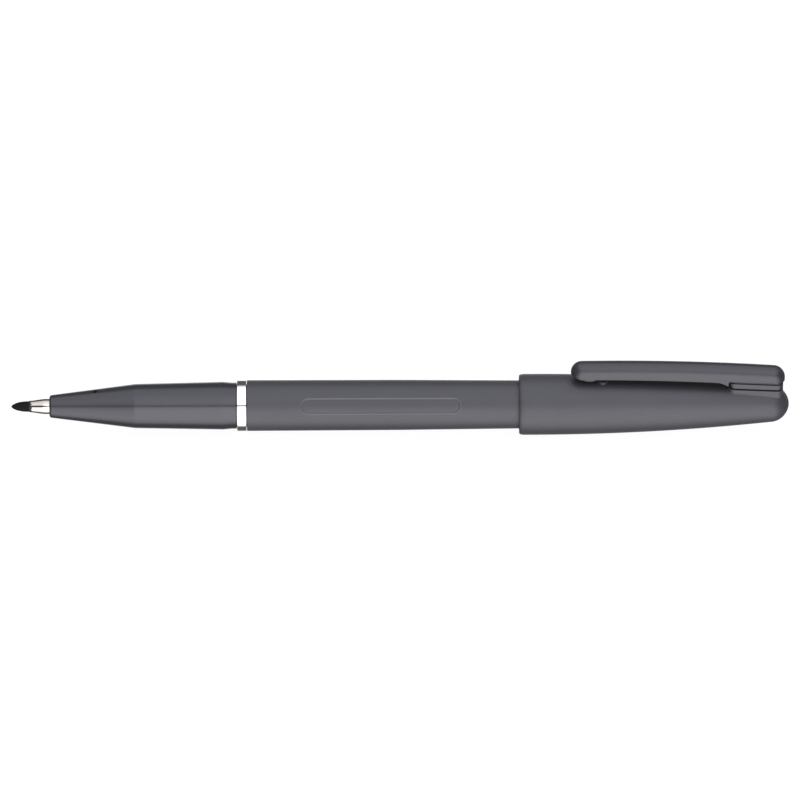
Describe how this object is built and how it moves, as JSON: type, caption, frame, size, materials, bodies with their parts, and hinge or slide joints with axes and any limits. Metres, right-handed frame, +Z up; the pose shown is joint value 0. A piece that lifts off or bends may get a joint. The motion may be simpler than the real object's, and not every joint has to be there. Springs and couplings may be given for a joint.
{
  "type": "fibre-tip lettering pen",
  "caption": "Fibre-tip lettering pen lying on its side, with a tapered cap and pocket clip posted on the tail of a round barrel.",
  "frame": {"origin": "on the surface the pen lies on, straight below the middle of its length", "axes": "+X along the pen from the nib to the closed end of the cap, +Z up through the clip, +Y across"},
  "size_m": [0.1554, 0.012, 0.0162],
  "materials": {
    "matte_grey": "fine moulded matte",
    "gloss_grey": "polished moulding",
    "chrome": "bright plated",
    "nib_steel": "drawn and polished",
    "inked_fibre": "pressed felt soaked with black ink",
    "white_fibre": "bonded fibre rod",
    "clear_film": "clear wrapping film",
    "soft_liner": "natural soft plastic"
  },
  "bodies": {
    "pen": {"nib": "inked_fibre", "nib_sleeve": "nib_steel", "nib_holder": "soft_liner", "section": "gloss_grey", "trim_ring": "chrome", "barrel": "matte_grey", "ink_core": "white_fibre", "core_film": "clear_film", "tail_plug": "matte_grey"},
    "cap_liner": {"inner_cap": "soft_liner"},
    "cap": {"cap_shell": "matte_grey", "clip_root": "gloss_grey"},
    "clip": {"clip_arm": "gloss_grey"}
  },
  "joints": [
    {"name": "cap_pull", "type": "slide", "parent": "pen", "child": "cap_liner", "axis": [1, 0, 0], "range_m": [0, 0.034]},
    {"name": "cap_turn", "type": "hinge", "parent": "cap_liner", "child": "cap", "pos_m": [0.0238, 0, 0.00605], "axis": [1, 0, 0], "continuous": true},
    {"name": "clip_flex", "type": "hinge", "parent": "cap", "child": "clip", "pos_m": [0.065, 0, 0.01392], "axis": [0, 1, 0], "range_deg": [0, 3], "stiffness_Nm_per_rad": 0.3}
  ]
}
